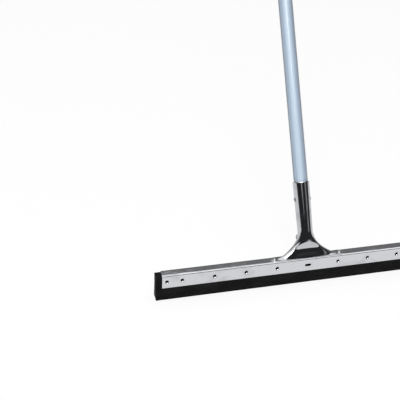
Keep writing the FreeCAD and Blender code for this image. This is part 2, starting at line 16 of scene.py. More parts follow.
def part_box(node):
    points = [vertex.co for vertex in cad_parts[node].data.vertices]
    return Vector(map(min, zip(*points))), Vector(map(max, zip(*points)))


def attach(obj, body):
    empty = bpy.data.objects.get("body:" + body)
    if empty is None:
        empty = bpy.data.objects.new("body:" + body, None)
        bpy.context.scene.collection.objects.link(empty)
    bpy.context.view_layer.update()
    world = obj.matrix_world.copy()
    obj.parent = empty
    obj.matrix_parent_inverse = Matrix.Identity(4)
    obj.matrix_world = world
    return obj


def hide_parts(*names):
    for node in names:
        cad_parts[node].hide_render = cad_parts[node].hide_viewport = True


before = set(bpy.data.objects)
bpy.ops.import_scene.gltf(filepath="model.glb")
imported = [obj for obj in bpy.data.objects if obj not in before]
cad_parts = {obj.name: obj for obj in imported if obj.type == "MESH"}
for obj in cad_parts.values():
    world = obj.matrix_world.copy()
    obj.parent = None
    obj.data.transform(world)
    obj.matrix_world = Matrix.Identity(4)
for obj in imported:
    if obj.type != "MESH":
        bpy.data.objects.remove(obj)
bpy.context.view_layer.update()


# ---------------------------------------------------------------------------------------------
# Channel. A strip of thin steel folded into an inverted U and chromed. Both faces are pierced
# inwards in a row, and the lips of the piercings bite into the foam. A slot is cut in the middle.
# ---------------------------------------------------------------------------------------------

channel_low, channel_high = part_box("channel")
CHANNEL_HALF_LENGTH = channel_high.x
CHANNEL_HALF_DEPTH = channel_high.y
CHANNEL_TOP = channel_high.z
CHANNEL_BOTTOM = channel_low.z
CHANNEL_WALL = 0.0010
FOLD_RADIUS = 0.0022
PIERCE_PITCH = 0.0572
PIERCE_PAIRS = 4
PIERCE_END_STEP = 0.0270
PIERCE_HEIGHT = CHANNEL_TOP - 0.0130
PIERCE_RADIUS = 0.0044
PIERCE_HOLE_RADIUS = 0.0024
PIERCE_DEPTH = 0.0017
SLOT_HALF_LENGTH = 0.00575
SLOT_HALF_WIDTH = 0.0025
CELL_HALF_WIDTH = 0.0080
CELL_SEGMENTS = 16

in_row = [PIERCE_PITCH * step for step in range(1, PIERCE_PAIRS + 1)]
to_right = in_row + [in_row[-1] + PIERCE_END_STEP]
pierced_x = sorted([-x for x in to_right] + to_right)


def grid_quads(rows, columns, first):
    """Quads between neighbouring points of a grid stored row by row from point `first` on."""
    number = np.arange(rows * columns).reshape(rows, columns) + first
    corners = [number[:-1, :-1], number[:-1, 1:], number[1:, 1:], number[1:, :-1]]
    return np.stack(corners, axis=-1).reshape(-1, 4)


def skin(name, grids, sharp=35, weld=2e-6):
    """One mesh from grids of points, each rows x columns x 3. Points that meet are joined, quads
    that have shrunk to lines go, and edges that turn by more than `sharp` degrees stay crisp."""
    points = []
    quads = []
    first = 0
    for grid in grids:
        rows, columns = grid.shape[:2]
        points.append(grid.reshape(-1, 3))
        quads.append(grid_quads(rows, columns, first))
        first += rows * columns
    mesh = bpy.data.meshes.new(name)
    mesh.from_pydata(np.concatenate(points).tolist(), [], np.concatenate(quads).tolist())
    shape = bmesh.new()
    shape.from_mesh(mesh)
    bmesh.ops.remove_doubles(shape, verts=shape.verts, dist=weld)
    bmesh.ops.dissolve_degenerate(shape, edges=shape.edges, dist=weld / 2)
    bmesh.ops.recalc_face_normals(shape, faces=shape.faces)
    shape.to_mesh(mesh)
    shape.free()
    mesh.shade_smooth()
    mesh.set_sharp_from_angle(angle=math.radians(sharp))
    piece = bpy.data.objects.new(name, mesh)
    bpy.context.scene.collection.objects.link(piece)
    return piece


def square_walk(low_x, high_x, low_z, high_z, segments):
    """Points along the border of a rectangle, anticlockwise from its lower left corner, evenly
    spaced on each side."""
    step = np.arange(segments) / segments
    x = np.concatenate([low_x + (high_x - low_x) * step, np.full(segments, high_x),
                        high_x - (high_x - low_x) * step, np.full(segments, low_x)])
    z = np.concatenate([np.full(segments, low_z), low_z + (high_z - low_z) * step,
                        np.full(segments, high_z), high_z - (high_z - low_z) * step])
    return np.append(x, x[0]), np.append(z, z[0])


PANEL_TOP = CHANNEL_TOP - FOLD_RADIUS


def pierced_cell(middle, side):
    """A square of sheet with a piercing. Rings go from the hole out to a circle, and from there
    straight out to the border. The depth falls off as the square of the distance from the cone's
    edge, so the shoulder is soft and the lip steep."""
    border_x, border_z = square_walk(middle - CELL_HALF_WIDTH, middle + CELL_HALF_WIDTH,
                                     CHANNEL_BOTTOM, PANEL_TOP, CELL_SEGMENTS)
    around = np.arctan2(border_z - PIERCE_HEIGHT, border_x - middle)
    cone = np.linspace(0, 1, 9)
    radius = PIERCE_HOLE_RADIUS + (PIERCE_RADIUS - PIERCE_HOLE_RADIUS) * cone
    depth = PIERCE_DEPTH * (1 - cone) ** 2
    ring_x = middle + radius[:, None] * np.cos(around)
    ring_z = PIERCE_HEIGHT + radius[:, None] * np.sin(around)
    out = np.linspace(0, 1, 6)[1:, None]
    ring_x = np.vstack([ring_x, ring_x[-1] * (1 - out) + border_x * out])
    ring_z = np.vstack([ring_z, ring_z[-1] * (1 - out) + border_z * out])
    depth = np.append(depth, np.zeros(len(out)))
    y = np.broadcast_to(depth[:, None] - CHANNEL_HALF_DEPTH, ring_x.shape)
    return np.stack([ring_x, y * side, ring_z], axis=-1)


def slotted_cell(side):
    """The square of sheet with the slot: rings from the slot's round-ended outline straight out
    to the border."""
    border_x, border_z = square_walk(-CELL_HALF_WIDTH, CELL_HALF_WIDTH,
                                     CHANNEL_BOTTOM, PANEL_TOP, CELL_SEGMENTS)
    around = np.arctan2(border_z - PIERCE_HEIGHT, border_x)
    straight = SLOT_HALF_LENGTH - SLOT_HALF_WIDTH
    edge_x = SLOT_HALF_WIDTH * np.cos(around) + straight * np.clip(2.2 * np.cos(around), -1, 1)
    edge_z = PIERCE_HEIGHT + SLOT_HALF_WIDTH * np.sin(around)
    edge_z = PIERCE_HEIGHT + np.sign(edge_z - PIERCE_HEIGHT) * np.sqrt(np.clip(
        SLOT_HALF_WIDTH ** 2 - np.clip(np.abs(edge_x) - straight, 0, SLOT_HALF_WIDTH) ** 2, 0, None))
    out = np.linspace(0, 1, 7)[:, None]
    x = edge_x * (1 - out) + border_x * out
    z = edge_z * (1 - out) + border_z * out
    return np.stack([x, np.full(x.shape, -CHANNEL_HALF_DEPTH * side), z], axis=-1)


def plain_cell(start, end, side):
    """Flat sheet between two squares."""
    z = CHANNEL_BOTTOM + (PANEL_TOP - CHANNEL_BOTTOM) * np.arange(CELL_SEGMENTS + 1) / CELL_SEGMENTS
    x = np.linspace(start, end, max(2, round((end - start) / 0.006)))
    z, x = np.meshgrid(z, x, indexing="ij")
    return np.stack([x, np.full(x.shape, -CHANNEL_HALF_DEPTH * side), z], axis=-1)


centres = sorted(pierced_x + [0.0])
channel_grids = []
crown_x = []
reached = -CHANNEL_HALF_LENGTH
for centre in centres + [None]:
    before = CHANNEL_HALF_LENGTH if centre is None else centre - CELL_HALF_WIDTH
    for side in (1, -1):
        channel_grids.append(plain_cell(reached, before, side))
        if centre is not None:
            channel_grids.append(pierced_cell(centre, side) if centre else slotted_cell(side))
    crown_x.append(np.linspace(reached, before, max(2, round((before - reached) / 0.006)))[:-1])
    if centre is not None:
        crown_x.append(centre - CELL_HALF_WIDTH
                       + 2 * CELL_HALF_WIDTH * np.arange(CELL_SEGMENTS) / CELL_SEGMENTS)
        reached = centre + CELL_HALF_WIDTH
crown_x = np.append(np.concatenate(crown_x), CHANNEL_HALF_LENGTH)
turn = np.radians(np.linspace(0, 90, 9))
fold_y = -CHANNEL_HALF_DEPTH + FOLD_RADIUS * (1 - np.cos(turn))
fold_z = PANEL_TOP + FOLD_RADIUS * np.sin(turn)
flat_y = np.linspace(fold_y[-1], -fold_y[-1], 6)[1:-1]
crown_y = np.concatenate([fold_y, flat_y, -fold_y[::-1]])
crown_z = np.concatenate([fold_z, np.full(len(flat_y), CHANNEL_TOP), fold_z[::-1]])
crown = np.empty((len(crown_y), len(crown_x), 3))
crown[..., 0] = crown_x
crown[..., 1] = crown_y[:, None]
crown[..., 2] = crown_z[:, None]
channel = skin("channel_sheet", channel_grids + [crown])
topmost = max(channel.data.polygons, key=lambda face: face.center.z)
if topmost.normal.z < 0:
    channel.data.flip_normals()
wall = channel.modifiers.new("wall", "SOLIDIFY")
wall.thickness = CHANNEL_WALL
wall.offset = -1
edges = channel.modifiers.new("cut_edges", "BEVEL")
edges.width = 0.0002
edges.segments = 2
edges.limit_method = "ANGLE"
edges.angle_limit = math.radians(60)
edges.harden_normals = False


class Wire:
    """An output of a node. Sums, differences, products and powers of wires and numbers add the
    Math nodes that work them out."""

    def __init__(self, finish, socket):
        self.finish = finish
        self.socket = socket

    def sum_node(self, operation, first, second):
        return self.finish.node("ShaderNodeMath", {"operation": operation}, {0: first, 1: second})

    def __add__(self, other):
        return self.sum_node("ADD", self, other)

    def __radd__(self, other):
        return self.sum_node("ADD", other, self)

    def __sub__(self, other):
        return self.sum_node("SUBTRACT", self, other)

    def __rsub__(self, other):
        return self.sum_node("SUBTRACT", other, self)

    def __mul__(self, other):
        return self.sum_node("MULTIPLY", self, other)

    def __rmul__(self, other):
        return self.sum_node("MULTIPLY", other, self)

    def __pow__(self, other):
        return self.sum_node("POWER", self, other)


class Finish:
    """A material in the making. Its constants are set on the surface shader's own sockets."""

    def __init__(self, name, **constants):
        self.material = bpy.data.materials.new(name)
        self.material.use_nodes = True
        self.tree = self.material.node_tree
        self.shader = self.tree.nodes["Principled BSDF"]
        for words, value in constants.items():
            self.shader.inputs[words.replace("_", " ")].default_value = value
        self.place = self.node("ShaderNodeTexCoord", {}, {}, "Object")

    def node(self, kind, settings, sockets, output=0):
        """Adds a node, sets its settings and then the value or wire of each socket, and gives the
        wire of one of its outputs."""
        made = self.tree.nodes.new(kind)
        for setting, value in settings.items():
            if setting == "stops":
                ramp = made.color_ramp
                while len(ramp.elements) < len(value):
                    ramp.elements.new(1)
                for element, (position, colour) in zip(ramp.elements, value):
                    element.position = position
                    element.color = (*colour, 1)
            else:
                setattr(made, setting, value)
        for socket, value in sockets.items():
            if isinstance(value, Wire):
                self.tree.links.new(value.socket, made.inputs[socket])
            else:
                made.inputs[socket].default_value = value
        return Wire(self, made.outputs[output])

    def stretched(self, x, y, z):
        """Object coordinates with each axis scaled."""
        return self.node("ShaderNodeMapping", {}, {"Vector": self.place, "Scale": (x, y, z)})

    def noise(self, where, scale, detail=3, roughness=0.55, distortion=0):
        """Soft noise from 0 to 1."""
        sockets = {"Vector": where, "Scale": scale, "Detail": detail,
                   "Roughness": roughness, "Distortion": distortion}
        return self.node("ShaderNodeTexNoise", {}, sockets)

    def between(self, value, low, high, to_low=0, to_high=1):
        """Carries a value from one span to another along a smooth step."""
        return self.node("ShaderNodeMapRange", {"interpolation_type": "SMOOTHSTEP"},
                         {0: value, 1: low, 2: high, 3: to_low, 4: to_high})

    def blend(self, share, first, second):
        """A colour between two colours."""
        return self.node("ShaderNodeMix", {"data_type": "RGBA"}, {0: share, 6: first, 7: second}, 2)

    def bump(self, height, depth, below=None):
        """Tilts the surface by a height from 0 to 1 that stands for `depth` metres."""
        sockets = {"Height": height, "Distance": depth, "Strength": 1}
        if below is not None:
            sockets["Normal"] = below
        return self.node("ShaderNodeBump", {}, sockets)

    def feed(self, **links):
        """Links wires to the surface shader's sockets."""
        for words, wire in links.items():
            self.tree.links.new(wire.socket, self.shader.inputs[words.replace("_", " ")])
        return self.material


def wear(piece, material, slot, *nodes):
    """Puts a material on a new piece, which rides on the one body and stands for CAD nodes."""
    piece.data.materials.append(material)
    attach(piece, "root")
    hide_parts(*nodes)


def chrome(name, colour, shade, roughness, grain, ripple):
    """Bright chromium on rolled steel: fine drawing lines along `grain`, faint smears where it
    has been wiped, a shallow ripple of the sheet, and small pits."""
    finish = Finish(name, Metallic=1.0)
    lines = finish.noise(finish.stretched(*grain), 1, 4, 0.7)
    smear = finish.noise(finish.stretched(14, 14, 26), 1, 3, 0.6, 1.5)
    smear = finish.between(smear, 0.42, 0.72)
    pits = finish.node("ShaderNodeTexVoronoi", {}, {"Vector": finish.place, "Scale": 330})
    pits = finish.between(pits, 0.05, 0.13, 1, 0)
    speck = finish.noise(finish.place, 95, 2)
    pits = pits * finish.between(speck, 0.56, 0.66)
    dull = finish.between(smear * 0.7 + lines * 0.3, 0.1, 0.8)
    tone = finish.blend(dull, (*colour, 1), (*shade, 1))
    tone = finish.blend(pits * 0.55, tone, (0.12, 0.12, 0.125, 1))
    swell = finish.noise(finish.stretched(*ripple), 1, 2, 0.4)
    level = finish.bump(swell, 0.00035)
    level = finish.bump(lines, 0.0000022, level)
    level = finish.bump(1 - pits, 0.00002, level)
    return finish.feed(Base_Color=tone, Roughness=roughness + smear * 0.10 + pits * 0.3, Normal=level)


wear(channel,
     chrome("chromed_channel", (0.62, 0.63, 0.65), (0.53, 0.54, 0.56), 0.07,
            (6, 900, 900), (22, 40, 40)),
     "chromed_sheet", "channel")


# ---------------------------------------------------------------------------------------------
# Foam blade. Two strips of black cellular rubber, cut square from sheet, pushed side by side
# into the channel. They are a little longer than it and swell where they leave it.
# ---------------------------------------------------------------------------------------------

foam_low, foam_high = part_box("foam_front")
FOAM_HALF_LENGTH = foam_high.x
FOAM_TOP = foam_high.z
FOAM_FACE = -foam_low.y
FOAM_INSIDE = CHANNEL_HALF_DEPTH - CHANNEL_WALL
FOAM_EDGE = 0.0007
FOAM_SPACING = 0.0011


def evenly(corners, spacing):
    """Points spaced evenly along a closed line of straight runs, with the corners kept."""
    runs = []
    for start, end in zip(corners, np.roll(corners, -1, axis=0)):
        count = max(1, round(np.linalg.norm(end - start) / spacing))
        runs.append(start + (end - start) * (np.arange(count) / count)[:, None])
    return np.concatenate(runs)


def soft_waves(x, z, seed):
    """A smooth random height between about -1 and 1: a sum of eight sine waves with random
    directions, from 9 to 60 mm long."""
    draw = np.random.default_rng(seed)
    total = np.zeros(np.broadcast(x, z).shape)
    for length in np.linspace(0.009, 0.06, 8):
        lean = draw.uniform(0, math.tau)
        start = draw.uniform(0, math.tau)
        total += np.sin((x * math.cos(lean) + z * math.sin(lean)) * math.tau / length + start)
    return total / 4


def foam_strip(name, side, seed):
    """A profile carried along the blade. The profile is a rectangle whose lower corners are
    rounded; it narrows inside the channel, is pressed in at each piercing, and its free faces
    wander by a tenth of a millimetre as a knife leaves them."""
    face = FOAM_FACE
    round_step = np.radians(np.linspace(0, 90, 4))
    outer_round = np.stack([face - FOAM_EDGE * (1 - np.sin(round_step)),
                            FOAM_EDGE * (1 - np.cos(round_step))], axis=-1)
    inner_round = np.stack([FOAM_EDGE * (1 - np.cos(round_step[::-1])) * 0.6,
                            FOAM_EDGE * (1 - np.sin(round_step[::-1])) * 0.6], axis=-1)[::-1]
    corners = np.concatenate([
        inner_round[::-1],
        outer_round,
        np.array([[face, CHANNEL_BOTTOM - 0.0012], [FOAM_INSIDE, CHANNEL_BOTTOM + 0.0002],
                  [FOAM_INSIDE, FOAM_TOP - 0.0018], [FOAM_INSIDE - 0.0015, FOAM_TOP],
                  [0.0, FOAM_TOP]]),
    ])
    profile = evenly(corners, FOAM_SPACING)
    profile = np.vstack([profile, profile[:1]])
    x = np.linspace(-FOAM_HALF_LENGTH, FOAM_HALF_LENGTH, 391)
    depth = np.broadcast_to(profile[:, 0], (len(x), len(profile))).copy()
    height = np.broadcast_to(profile[:, 1], depth.shape).copy()
    along = np.broadcast_to(x[:, None], depth.shape).copy()
    nearest = np.min(np.abs(along[..., None] - np.array(centres)), axis=-1)
    away = np.hypot(nearest, height - PIERCE_HEIGHT)
    dent = 0.0030 * np.clip(1 - (away - 0.0046) / 0.0035, 0, 1)
    depth -= np.where(depth > FOAM_INSIDE - 0.0002, dent, 0) * (height > CHANNEL_BOTTOM)
    free = np.clip((CHANNEL_BOTTOM - 0.002 - height) / 0.004, 0, 1)
    outward = np.clip(depth / face, 0, 1) ** 6
    depth -= free * outward * 0.00016 * (1 + soft_waves(along, height, seed))
    end = np.abs(along) / FOAM_HALF_LENGTH > 0.999
    ragged = np.clip(1 + soft_waves(depth * 3, height, seed + 1), 0, 2)
    along -= end * np.sign(along) * 0.0002 * ragged
    body = np.stack([along, depth * side, height], axis=-1)
    caps = []
    for row in (0, -1):
        ring = body[row]
        middle = np.array([ring[:, 0].mean(), 0.0042 * side, 0.024])
        inwards = np.linspace(0, 1, 9)[:, None, None]
        caps.append(ring + (middle - ring) * inwards)
    return skin(name, [body, *caps], 40, 4e-6)


def foam_rubber():
    """Black closed-cell rubber, dusty at the surface: cut cells of one to three millimetres are
    pressed in as pits and painted darker as shade inside them, and the cut face has faint upright knife marks."""
    finish = Finish("foam_rubber", Specular_IOR_Level=0.18, IOR=1.45)
    warp = finish.noise(finish.place, 240, 2)
    cells = finish.node("ShaderNodeTexVoronoi", {"feature": "F1"},
                        {"Vector": finish.place, "Scale": 620, "Randomness": 1})
    pore_relief_and_shade = finish.between(cells + warp * 0.25, 0.28, 0.62, 1, 0)
    big = finish.node("ShaderNodeTexVoronoi", {"feature": "F1"},
                      {"Vector": finish.place, "Scale": 230, "Randomness": 1})
    hole_relief_and_shade = finish.between(big + warp * 0.3, 0.22, 0.42, 1, 0)
    dust = finish.between(finish.noise(finish.stretched(30, 30, 60), 1, 5, 0.7), 0.40, 0.75)
    marks = finish.noise(finish.stretched(700, 60, 14), 1, 2, 0.5)
    tone = finish.blend(dust, (0.0050, 0.0050, 0.0052, 1), (0.0105, 0.0105, 0.0110, 1))
    # Painted shade: the small cut cells are darkened as if shade lay in them.
    tone = finish.blend(pore_relief_and_shade * 0.55, tone, (0.003, 0.003, 0.003, 1))
    # Painted shade: the larger cut cells are darkened the same way.
    tone = finish.blend(hole_relief_and_shade * 0.7, tone, (0.0015, 0.0015, 0.0015, 1))
    level = finish.bump(marks, 0.00010)
    level = finish.bump(1 - pore_relief_and_shade, 0.00022, level)
    level = finish.bump(1 - hole_relief_and_shade, 0.00045, level)
    return finish.feed(Base_Color=tone, Roughness=0.92 - dust * 0.1, Normal=level)


foam = foam_rubber()
for node, side, seed in (("foam_front", -1, 11), ("foam_rear", 1, 23)):
    strip = foam_strip(f"{node}_strip", side, seed)
    wear(strip, foam, "foam", node)


# ---------------------------------------------------------------------------------------------
# Socket. One stamping of chromed steel: rolled into a tube at the top, spread into two legs at
# the bottom with a pushed-in web between them, and open at the rear. Its flange lies on the
# channel.
# ---------------------------------------------------------------------------------------------

TILT = math.radians(31)
FLANGE_WALL = 0.0012
FLANGE_TOP = CHANNEL_TOP + FLANGE_WALL
SOCKET_LENGTH = 0.132
SOCKET_WALL = 0.0010
MOUTH_RADIUS = 0.0150
NECK_RADIUS = 0.0136
NECK_STATION = 0.046
LEG_SPREAD = 0.045
LEG_RADIUS = 0.0066
TOE_RADIUS = 0.005
ARCH_HALF_WIDTH = 0.031
ARCH_STATION = 0.0265
WEB_RECESS = 0.0039
SEAM_GAP = 0.0012
EAR_HEIGHT = 0.0024
LEG_CURVE = 1.95
OPENING_TOP = 0.97
OPENING_RUN = 0.22
REAR_CUT = 1.35
WEB_RUN = 0.4
LIP_START = 0.9
EAR_START = 0.62
EAR_RUN = 0.16


def smooth(value):
    """Goes from 0 to 1 as the value does, with no slope at either end."""
    value = np.clip(value, 0, 1)
    return value * value * (3 - 2 * value)


def socket_surface(across, station):
    """Points of the outer skin. `across` runs from -1 at one rear edge, round the front, to 1 at
    the other; `station` is the distance up the handle's axis from the flange. The tube is a
    slight cone. Below the neck each half of the ring keeps a round of its own and moves out by
    `spread`. The web between is pushed back inside an arch with a crease round it, and the rear
    is cut away, with a short turned-out ear on each side."""
    level = np.minimum(station / NECK_STATION, 1)
    blend = smooth(level)
    grown = np.maximum(station - NECK_STATION, 0) / (SOCKET_LENGTH - NECK_STATION)
    leg = LEG_RADIUS + (NECK_RADIUS - LEG_RADIUS) * blend + (MOUTH_RADIUS - NECK_RADIUS) * grown
    below = np.maximum(TOE_RADIUS - station, 0)
    spread = LEG_SPREAD * (1 - level) ** LEG_CURVE
    spread = spread + TOE_RADIUS - np.sqrt(TOE_RADIUS ** 2 - below ** 2)
    seam = SEAM_GAP / 2 / NECK_RADIUS
    opened = smooth((OPENING_TOP - level) / OPENING_RUN)
    angle = across * (math.pi - seam - (REAR_CUT - seam) * opened)
    sine = np.sin(angle)
    x = spread * sine * (3 - sine ** 2) / 2 + leg * sine
    arch = (x / ARCH_HALF_WIDTH) ** 2 + (station / ARCH_STATION) ** 2
    inside = (arch < 1) & (np.cos(angle) > 0)
    q = -leg * np.cos(angle)
    q = q + np.where(inside, WEB_RECESS * (1 - arch ** 2) * smooth(level / WEB_RUN), 0)
    ear = smooth((np.abs(across) - LIP_START) / (1 - LIP_START))
    ear = ear * smooth((OPENING_TOP - level) / OPENING_RUN) * smooth((level - EAR_START) / EAR_RUN)
    x = x + np.sign(across) * EAR_HEIGHT * ear
    turn = TILT * blend
    sunk = (FLANGE_WALL - SOCKET_WALL) / 2 * (1 - blend)
    y = station * math.sin(TILT) + q * np.cos(turn)
    z = station * math.cos(TILT) - q * np.sin(turn) - sunk + FLANGE_TOP
    return np.stack(np.broadcast_arrays(x, y, z), axis=-1)


across = np.linspace(-1, 1, 145)[None, :]
toe_steps = TOE_RADIUS * (1 - np.cos(np.radians(np.linspace(0, 90, 9))))
flare_steps = np.linspace(TOE_RADIUS, NECK_STATION, 61)[1:]
tube_steps = np.linspace(NECK_STATION, SOCKET_LENGTH, 41)[1:]
station = np.concatenate([toe_steps, flare_steps, tube_steps])[:, None]
nudge = 1e-5
outer = socket_surface(across, station)
sideways = socket_surface(across + nudge, station) - socket_surface(across - nudge, station)
upwards = socket_surface(across, station + nudge)
upwards = upwards - socket_surface(across, np.maximum(station - nudge, 0))
out = np.cross(sideways, upwards)
out /= np.linalg.norm(out, axis=-1, keepdims=True)
RIM = 0.00025


def rolled_edge(start_out, end_out, start_point, end_point):
    """A rounded edge between two skins: straight across, with both corners taken off by RIM."""
    gap = end_point - start_point
    share = RIM / np.linalg.norm(gap, axis=-1, keepdims=True)
    return [start_point + gap * share, end_point - gap * share]


inner = outer - out * SOCKET_WALL
pull = RIM * 0.9
mouth_step = outer[-1] - outer[-2]
mouth_step /= np.linalg.norm(mouth_step, axis=-1, keepdims=True)
outer[-1] -= mouth_step * pull
inner[-1] -= mouth_step * pull
lip = rolled_edge(None, None, outer[-1], inner[-1])
mouth_rim = np.stack([outer[-1], lip[0] + mouth_step * pull, lip[1] + mouth_step * pull, inner[-1]])
foot_rim = np.stack([inner[0], outer[0]])
side_rims = []
for column, neighbour in ((0, 1), (-1, -2)):
    edge_step = outer[:, column] - outer[:, neighbour]
    edge_step /= np.linalg.norm(edge_step, axis=-1, keepdims=True)
    lip = rolled_edge(None, None, outer[:, column], inner[:, column])
    rim = [outer[:, column], lip[0] + edge_step * pull * 0.5, lip[1] + edge_step * pull * 0.5, inner[:, column]]
    side_rims.append(np.stack(rim))


def round_ended_plate(half_length, half_width, low, high, facing_for_painted_light, rows):
    """A plate with round ends and a rounded upper edge: rings of the same outline, first up the
    side, then over the edge, then shrinking in to the middle line."""
    around = np.radians(np.linspace(0, 360, 97))
    centre_x = (half_length - half_width) * np.sign(np.round(np.cos(around), 9))
    centre_x[np.abs(np.cos(around)) < 1e-9] = 0
    over = np.radians(np.linspace(0, 90, rows))
    inset = np.concatenate([[0], facing_for_painted_light * (1 - np.cos(over)), np.linspace(facing_for_painted_light, half_width, 5)[1:]])
    height = np.concatenate([[low], high - facing_for_painted_light + facing_for_painted_light * np.sin(over), np.full(4, high)])
    radius = (half_width - inset)[:, None]
    x = centre_x + radius * np.cos(around)
    y = radius * np.sin(around)
    z = np.broadcast_to(height[:, None], x.shape)
    top = np.stack([x, y, z], axis=-1)
    bottom = np.stack([top[0], top[0] * [1, 0, 1]])
    return [top, bottom]


socket_low, socket_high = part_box("socket")
FLANGE_HALF_LENGTH = socket_high.x
FLANGE_HALF_WIDTH = 0.0068
flange = round_ended_plate(FLANGE_HALF_LENGTH, FLANGE_HALF_WIDTH, CHANNEL_TOP, FLANGE_TOP, 0.0005, 5)
socket = skin("socket_stamping", [outer, inner, mouth_rim, foot_rim, *side_rims, *flange], 50)
wear(socket,
     chrome("chromed_stamping", (0.52, 0.53, 0.55), (0.42, 0.43, 0.45), 0.05,
            (700, 700, 12), (45, 45, 26)),
     "chromed_stamping", "socket")


# ---------------------------------------------------------------------------------------------
# Foot rivets. Two steel rivets with domed heads, zinc plated, driven down through the flange
# and the top of the channel and headed over inside it.
# ---------------------------------------------------------------------------------------------

FOOT_RIVET_X = 0.0610
FOOT_HEAD_RADIUS = 0.0042
FOOT_HEAD_HEIGHT = 0.0024
FOOT_SHANK_RADIUS = 0.0024
FOOT_TAIL_RADIUS = 0.0036
FOOT_TAIL_HEIGHT = 0.0014


def turned(radius, height, centre, axis, across_axis, columns=48):
    """A surface of revolution: a profile of radii and heights turned about an axis."""
    around = np.radians(np.linspace(0, 360, columns + 1))
    third = np.cross(axis, across_axis)
    ring = np.cos(around)[:, None] * across_axis + np.sin(around)[:, None] * third
    radius = np.asarray(radius)[:, None, None]
    height = np.asarray(height)[:, None, None]
    return centre + height * np.asarray(axis) + radius * ring


def domed(head_radius, head_height, seat, rows=12):
    """Radii and heights from the rim of a domed head to its middle: a slice of a ball whose edge
    is turned down over the last tenth."""
    ball = (head_radius ** 2 + head_height ** 2) / (2 * head_height)
    radius = head_radius * np.sin(np.radians(np.linspace(90, 0, rows)))
    height = np.sqrt(ball ** 2 - radius ** 2) - ball + head_height
    return radius, seat + height


def plated():
    """Zinc plate gone slightly grey in random patches, which are also rougher."""
    finish = Finish("plated_rivet", Metallic=1.0)
    patch = finish.noise(finish.place, 700, 4, 0.6)
    fine = finish.noise(finish.place, 2600, 2, 0.5)
    grime = finish.between(patch, 0.45, 0.7)
    tone = finish.blend(grime, (0.40, 0.40, 0.40, 1), (0.24, 0.24, 0.25, 1))
    level = finish.bump(patch * 0.7 + fine * 0.3, 0.00006)
    return finish.feed(Base_Color=tone, Roughness=0.16 + grime * 0.2, Normal=level)


rivet_plate = plated()
up = np.array([0.0, 0.0, 1.0])
along_x = np.array([1.0, 0.0, 0.0])
foot_grids = []
for side in (-1, 1):
    dome_radius, dome_height = domed(FOOT_HEAD_RADIUS, FOOT_HEAD_HEIGHT, FLANGE_TOP)
    tail_seat = CHANNEL_TOP - CHANNEL_WALL
    radius = np.concatenate([[0, FOOT_TAIL_RADIUS - 0.0003, FOOT_TAIL_RADIUS, FOOT_TAIL_RADIUS,
                              FOOT_SHANK_RADIUS, FOOT_SHANK_RADIUS], dome_radius])
    tail_end = tail_seat - FOOT_TAIL_HEIGHT
    height = np.concatenate([[tail_end, tail_end, tail_end + 0.0003, tail_seat,
                              tail_seat, FLANGE_TOP], dome_height])
    centre = np.array([side * FOOT_RIVET_X, 0.0, 0.0])
    foot_grids.append(turned(radius, height, centre, up, along_x))
foot_rivets = skin("foot_rivet_heads", foot_grids, 40)
wear(foot_rivets, rivet_plate, "plated_rivet", "foot_rivets")


# ---------------------------------------------------------------------------------------------
# Handle rivets. A blind rivet in each side of the socket's tube: a domed head with a hole where
# the mandrel snapped off. The mandrel's broken stem sits a little below the head's crown.
# ---------------------------------------------------------------------------------------------

RIVET_STATION = 0.101
RIVET_SHANK_RADIUS = 0.0020
RIVET_HEAD_RADIUS = 0.0040
RIVET_HEAD_HEIGHT = 0.0015
RIVET_BULB_RADIUS = 0.0029
RIVET_BULB_LENGTH = 0.0030
MANDREL_RADIUS = 0.0009
HANDLE_RADIUS = 0.0122
HANDLE_WALL = 0.0008
SLEEVE_WALL = 0.0003

handle_axis = np.array([0.0, math.sin(TILT), math.cos(TILT)])
handle_foot = np.array([0.0, 0.0, FLANGE_TOP])
grown_here = (RIVET_STATION - NECK_STATION) / (SOCKET_LENGTH - NECK_STATION)
rivet_seat = NECK_RADIUS + (MOUTH_RADIUS - NECK_RADIUS) * grown_here
bulb_top = math.sqrt((HANDLE_RADIUS - HANDLE_WALL) ** 2 - RIVET_BULB_RADIUS ** 2)
bulb_end = bulb_top - RIVET_BULB_LENGTH
rivet_grids = []
for side in (-1, 1):
    outwards = np.array([float(side), 0.0, 0.0])
    dome_radius, dome_height = domed(RIVET_HEAD_RADIUS, RIVET_HEAD_HEIGHT, rivet_seat)
    kept = dome_radius > MANDREL_RADIUS + 0.00025
    crown_top = dome_height[kept][-1]
    radius = np.concatenate([[MANDREL_RADIUS, RIVET_BULB_RADIUS - 0.0004, RIVET_BULB_RADIUS,
                              RIVET_BULB_RADIUS, RIVET_SHANK_RADIUS, RIVET_SHANK_RADIUS],
                             dome_radius[kept],
                             [MANDREL_RADIUS + 0.00008, MANDREL_RADIUS, MANDREL_RADIUS]])
    height = np.concatenate([[bulb_end, bulb_end, bulb_end + 0.0004,
                              bulb_top, bulb_top, rivet_seat],
                             dome_height[kept], [crown_top + 0.00002, crown_top - 0.0002, bulb_end]])
    centre = handle_foot + handle_axis * RIVET_STATION
    rivet_grids.append(turned(radius, height, centre, outwards, handle_axis))
handle_rivets = skin("handle_rivet_heads", rivet_grids, 40)
wear(handle_rivets, rivet_plate, "plated_rivet", "handle_rivets")


def broken_steel():
    """Bare steel of the mandrel's broken stem: dark, grainy, touched with rust."""
    finish = Finish("mandrel_steel", Metallic=1.0)
    grain = finish.noise(finish.place, 3200, 3, 0.7)
    rust = finish.between(finish.noise(finish.place, 900, 3, 0.6), 0.5, 0.72)
    tone = finish.blend(grain, (0.16, 0.16, 0.165, 1), (0.34, 0.34, 0.34, 1))
    tone = finish.blend(rust * 0.6, tone, (0.14, 0.075, 0.04, 1))
    return finish.feed(Base_Color=tone, Roughness=0.38 + rust * 0.3,
                       Normal=finish.bump(grain, 0.00006))


